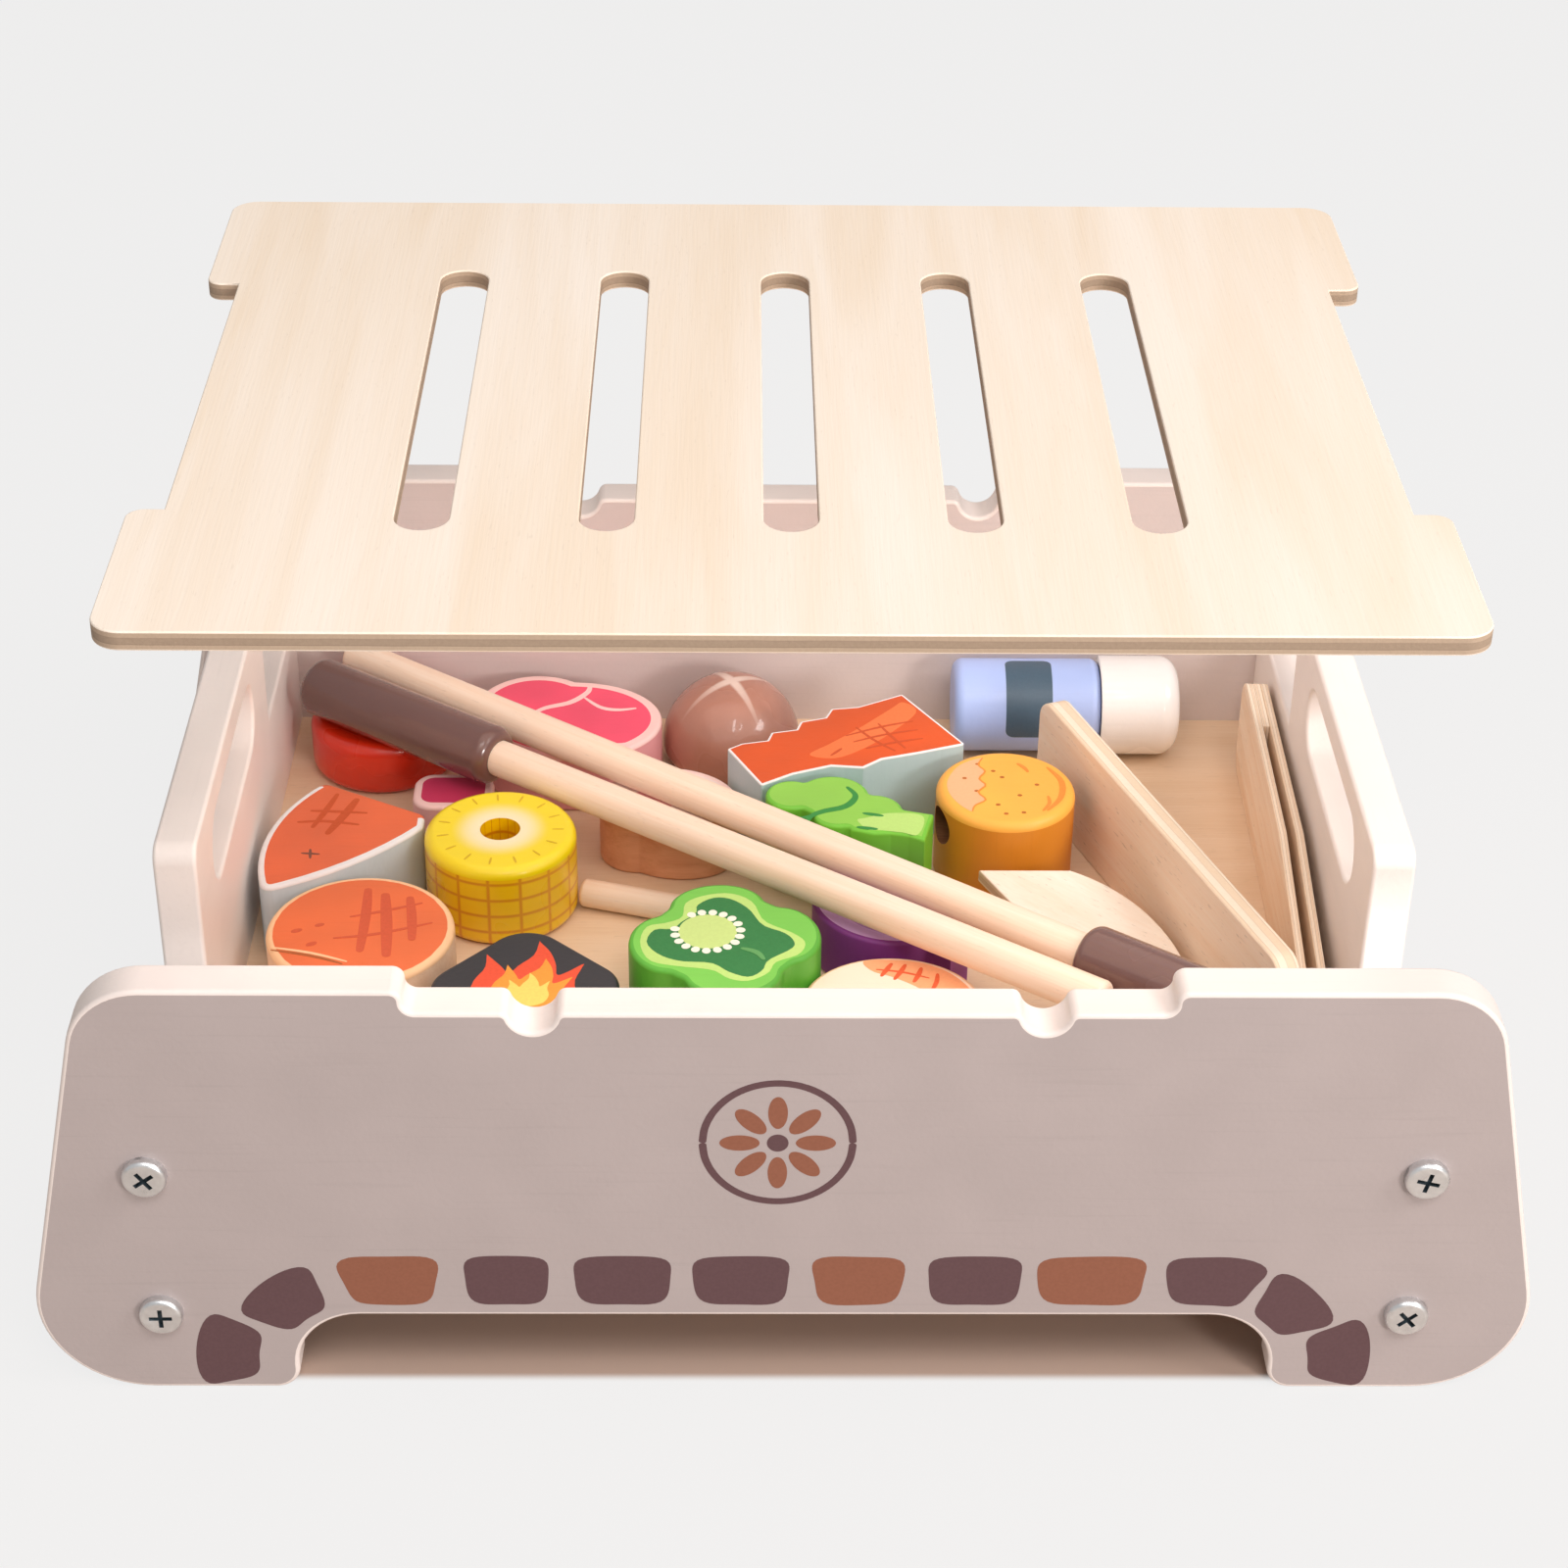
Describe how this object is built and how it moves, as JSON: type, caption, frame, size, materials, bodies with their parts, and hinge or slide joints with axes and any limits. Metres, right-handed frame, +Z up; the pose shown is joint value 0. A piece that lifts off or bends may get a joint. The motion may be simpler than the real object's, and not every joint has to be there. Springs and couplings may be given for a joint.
{
  "type": "toy barbecue grill",
  "caption": "Low wooden toy grill box with arched panels, hand slots, a lift-off slotted grill plate, and play food, skewers and tools stored inside.",
  "frame": {"origin": "on the surface it stands on, under the middle of the box", "axes": "+X to the right along the front panel, +Y to the back, +Z up"},
  "size_m": [0.3, 0.2224, 0.172],
  "materials": {
    "panel_paint": "satin greige water-based paint on a wooden board, its edges painted cream",
    "side_paint": "satin cream water-based paint on a wooden board",
    "plate_ply": "clear lacquered basswood plywood",
    "floor_ply": "sanded basswood plywood, clear lacquer",
    "screw_steel": "zinc plated steel",
    "rod_beech": "turned and sanded beech dowel",
    "grip_paint": "gloss plum-brown paint on a turned beech grip",
    "tool_ply": "pressed and sanded plywood",
    "shaker_paint": "satin periwinkle paint on a turned wooden body",
    "cap_paint": "gloss white paint on a turned wooden cap",
    "corn_paint": "gloss yellow paint with printed kernels",
    "salmon_paint": "satin orange paint with printed grill marks, pale sides",
    "patty_paint": "satin orange paint with printed grill marks on bare wood",
    "tomato_paint": "gloss red paint",
    "beef_paint": "satin pink paint with printed marbling",
    "mushroom_paint": "gloss brown paint",
    "broccoli_paint": "satin green paint with printed lines",
    "potato_paint": "satin orange-yellow paint with printed dots",
    "onion_paint": "satin lilac paint with printed stripes",
    "pepper_paint": "satin green paint with printed seeds",
    "charcoal_paint": "satin charcoal paint with a printed flame",
    "ham_paint": "satin pink paint with printed marbling",
    "chicken_paint": "satin cream paint with printed grill marks"
  },
  "bodies": {
    "box": {"front_panel": "panel_paint", "back_panel": "panel_paint", "side_panel_left": "side_paint", "side_panel_right": "side_paint", "floor_board": "floor_ply", "front_screws": "screw_steel", "back_screws": "screw_steel", "front_skewer_rod": "rod_beech", "front_skewer_grip": "grip_paint", "rear_skewer_rod": "rod_beech", "rear_skewer_grip": "grip_paint", "short_rod": "rod_beech", "tongs_arms": "tool_ply", "tongs_spacer": "tool_ply", "serving_board": "tool_ply", "turner_blade": "tool_ply", "salt_shaker_body": "shaker_paint", "salt_shaker_cap": "cap_paint", "corn_slice": "corn_paint", "salmon_steak": "salmon_paint", "salmon_slice": "salmon_paint", "meat_patty": "patty_paint", "tomato_half": "tomato_paint", "beef_steak": "beef_paint", "beef_cube": "beef_paint", "mushroom_cap": "mushroom_paint", "broccoli_floret": "broccoli_paint", "potato_half": "potato_paint", "onion_half": "onion_paint", "pepper_slice": "pepper_paint", "charcoal_block": "charcoal_paint", "ham_slice": "ham_paint", "chicken_piece": "chicken_paint"},
    "plate": {"grill_plate": "plate_ply"}
  },
  "joints": [
    {"name": "plate_lift", "type": "slide", "parent": "box", "child": "plate", "axis": [0, 0, 1], "range_m": [-0.106, 0]}
  ]
}
